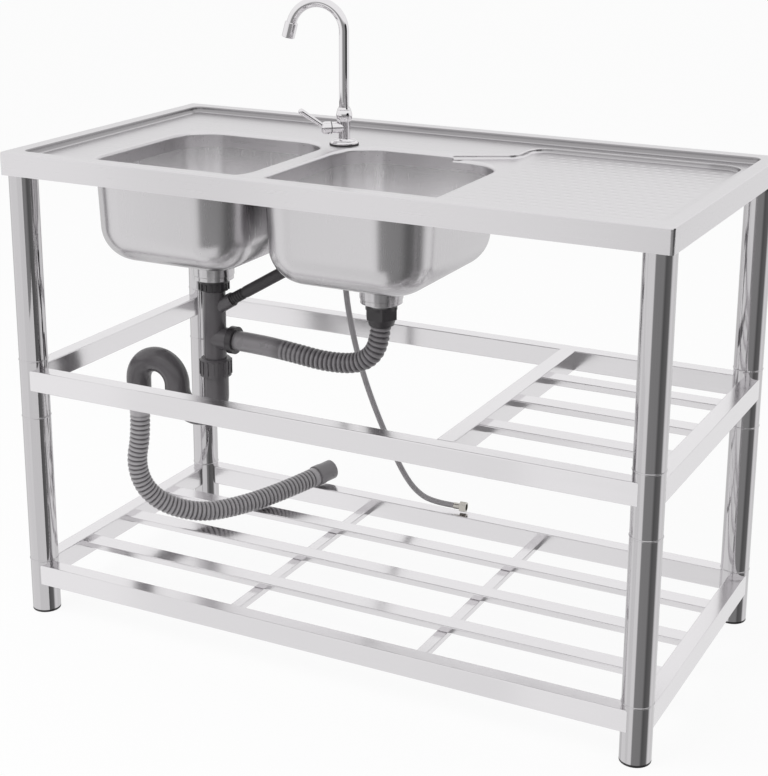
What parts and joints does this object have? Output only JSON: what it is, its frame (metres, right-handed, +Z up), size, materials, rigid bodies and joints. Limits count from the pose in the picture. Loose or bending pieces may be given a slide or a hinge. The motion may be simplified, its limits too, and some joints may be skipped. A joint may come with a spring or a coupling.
{
  "type": "double bowl sink bench",
  "caption": "Free-standing stainless steel sink bench with twin bowls, an embossed drainboard, a swivel tap, slatted shelves on tubular legs and waste plumbing.",
  "frame": {"origin": "on the floor under the middle of the bench", "axes": "+X towards the drainboard, +Y towards the back, +Z up"},
  "size_m": [1.2, 0.6179, 1.109],
  "materials": {
    "satin_steel": "satin",
    "polished_steel": "polished",
    "chrome_plate": "mirror",
    "brass_core": "plain",
    "grey_plastic": "moulded",
    "dark_plastic": "moulded",
    "grey_hose": "moulded",
    "black_rubber": "matt",
    "black_plastic": "moulded"
  },
  "bodies": {
    "bench": {"drain_nuts": "dark_plastic", "drain_tee": "grey_plastic", "feet": "black_plastic", "foot_post_front_left": "polished_steel", "foot_post_front_right": "polished_steel", "foot_post_rear_left": "polished_steel", "foot_post_rear_right": "polished_steel", "left_bowl": "satin_steel", "left_strainer": "satin_steel", "leg_couplers": "satin_steel", "leg_lower_front_left": "polished_steel", "leg_lower_front_right": "polished_steel", "leg_lower_rear_left": "polished_steel", "leg_lower_rear_right": "polished_steel", "leg_sockets": "satin_steel", "leg_upper_front_left": "polished_steel", "leg_upper_front_right": "polished_steel", "leg_upper_rear_left": "polished_steel", "leg_upper_rear_right": "polished_steel", "link_hose": "grey_hose", "lower_cross_bars": "polished_steel", "lower_front_rail": "polished_steel", "lower_left_rail": "polished_steel", "lower_rear_rail": "polished_steel", "lower_right_rail": "polished_steel", "lower_slats": "polished_steel", "mid_cross_rail": "polished_steel", "mid_front_rail": "polished_steel", "mid_left_rail": "polished_steel", "mid_post_front_left": "polished_steel", "mid_post_front_right": "polished_steel", "mid_post_rear_left": "polished_steel", "mid_post_rear_right": "polished_steel", "mid_rear_rail": "polished_steel", "mid_right_rail": "polished_steel", "mid_slats": "polished_steel", "overflow_hose": "black_rubber", "overflow_outlet": "grey_plastic", "overflow_rosette": "satin_steel", "right_bowl": "satin_steel", "right_strainer": "satin_steel", "s_trap": "grey_plastic", "strainer_gaskets": "black_rubber", "strainer_lock_rings": "satin_steel", "supply_hose": "grey_hose", "supply_hose_end": "brass_core", "tap_body": "chrome_plate", "tap_collar": "chrome_plate", "tap_gasket": "black_rubber", "tap_nuts": "brass_core", "waste_hose": "grey_hose", "waste_hose_end": "grey_hose", "worktop": "satin_steel"},
    "spout": {"tap_spout": "chrome_plate", "tap_aerator": "chrome_plate"},
    "lever": {"tap_lever": "chrome_plate", "tap_valve": "brass_core"},
    "left_plug": {"left_basket": "satin_steel"},
    "right_plug": {"right_basket": "satin_steel"}
  },
  "joints": [
    {"name": "spout_swivel", "type": "hinge", "parent": "bench", "child": "spout", "pos_m": [-0.144, 0.102, 0.9], "axis": [0, 0, 1], "continuous": true},
    {"name": "lever_turn", "type": "hinge", "parent": "bench", "child": "lever", "pos_m": [-0.144, 0.102, 0.879], "axis": [-0.7547, -0.6561, 0], "range_deg": [0, 90]},
    {"name": "left_basket_lift", "type": "slide", "parent": "bench", "child": "left_plug", "axis": [0, 0, 1], "range_m": [0, 0.06]},
    {"name": "right_basket_lift", "type": "slide", "parent": "bench", "child": "right_plug", "axis": [0, 0, 1], "range_m": [0, 0.06]}
  ]
}
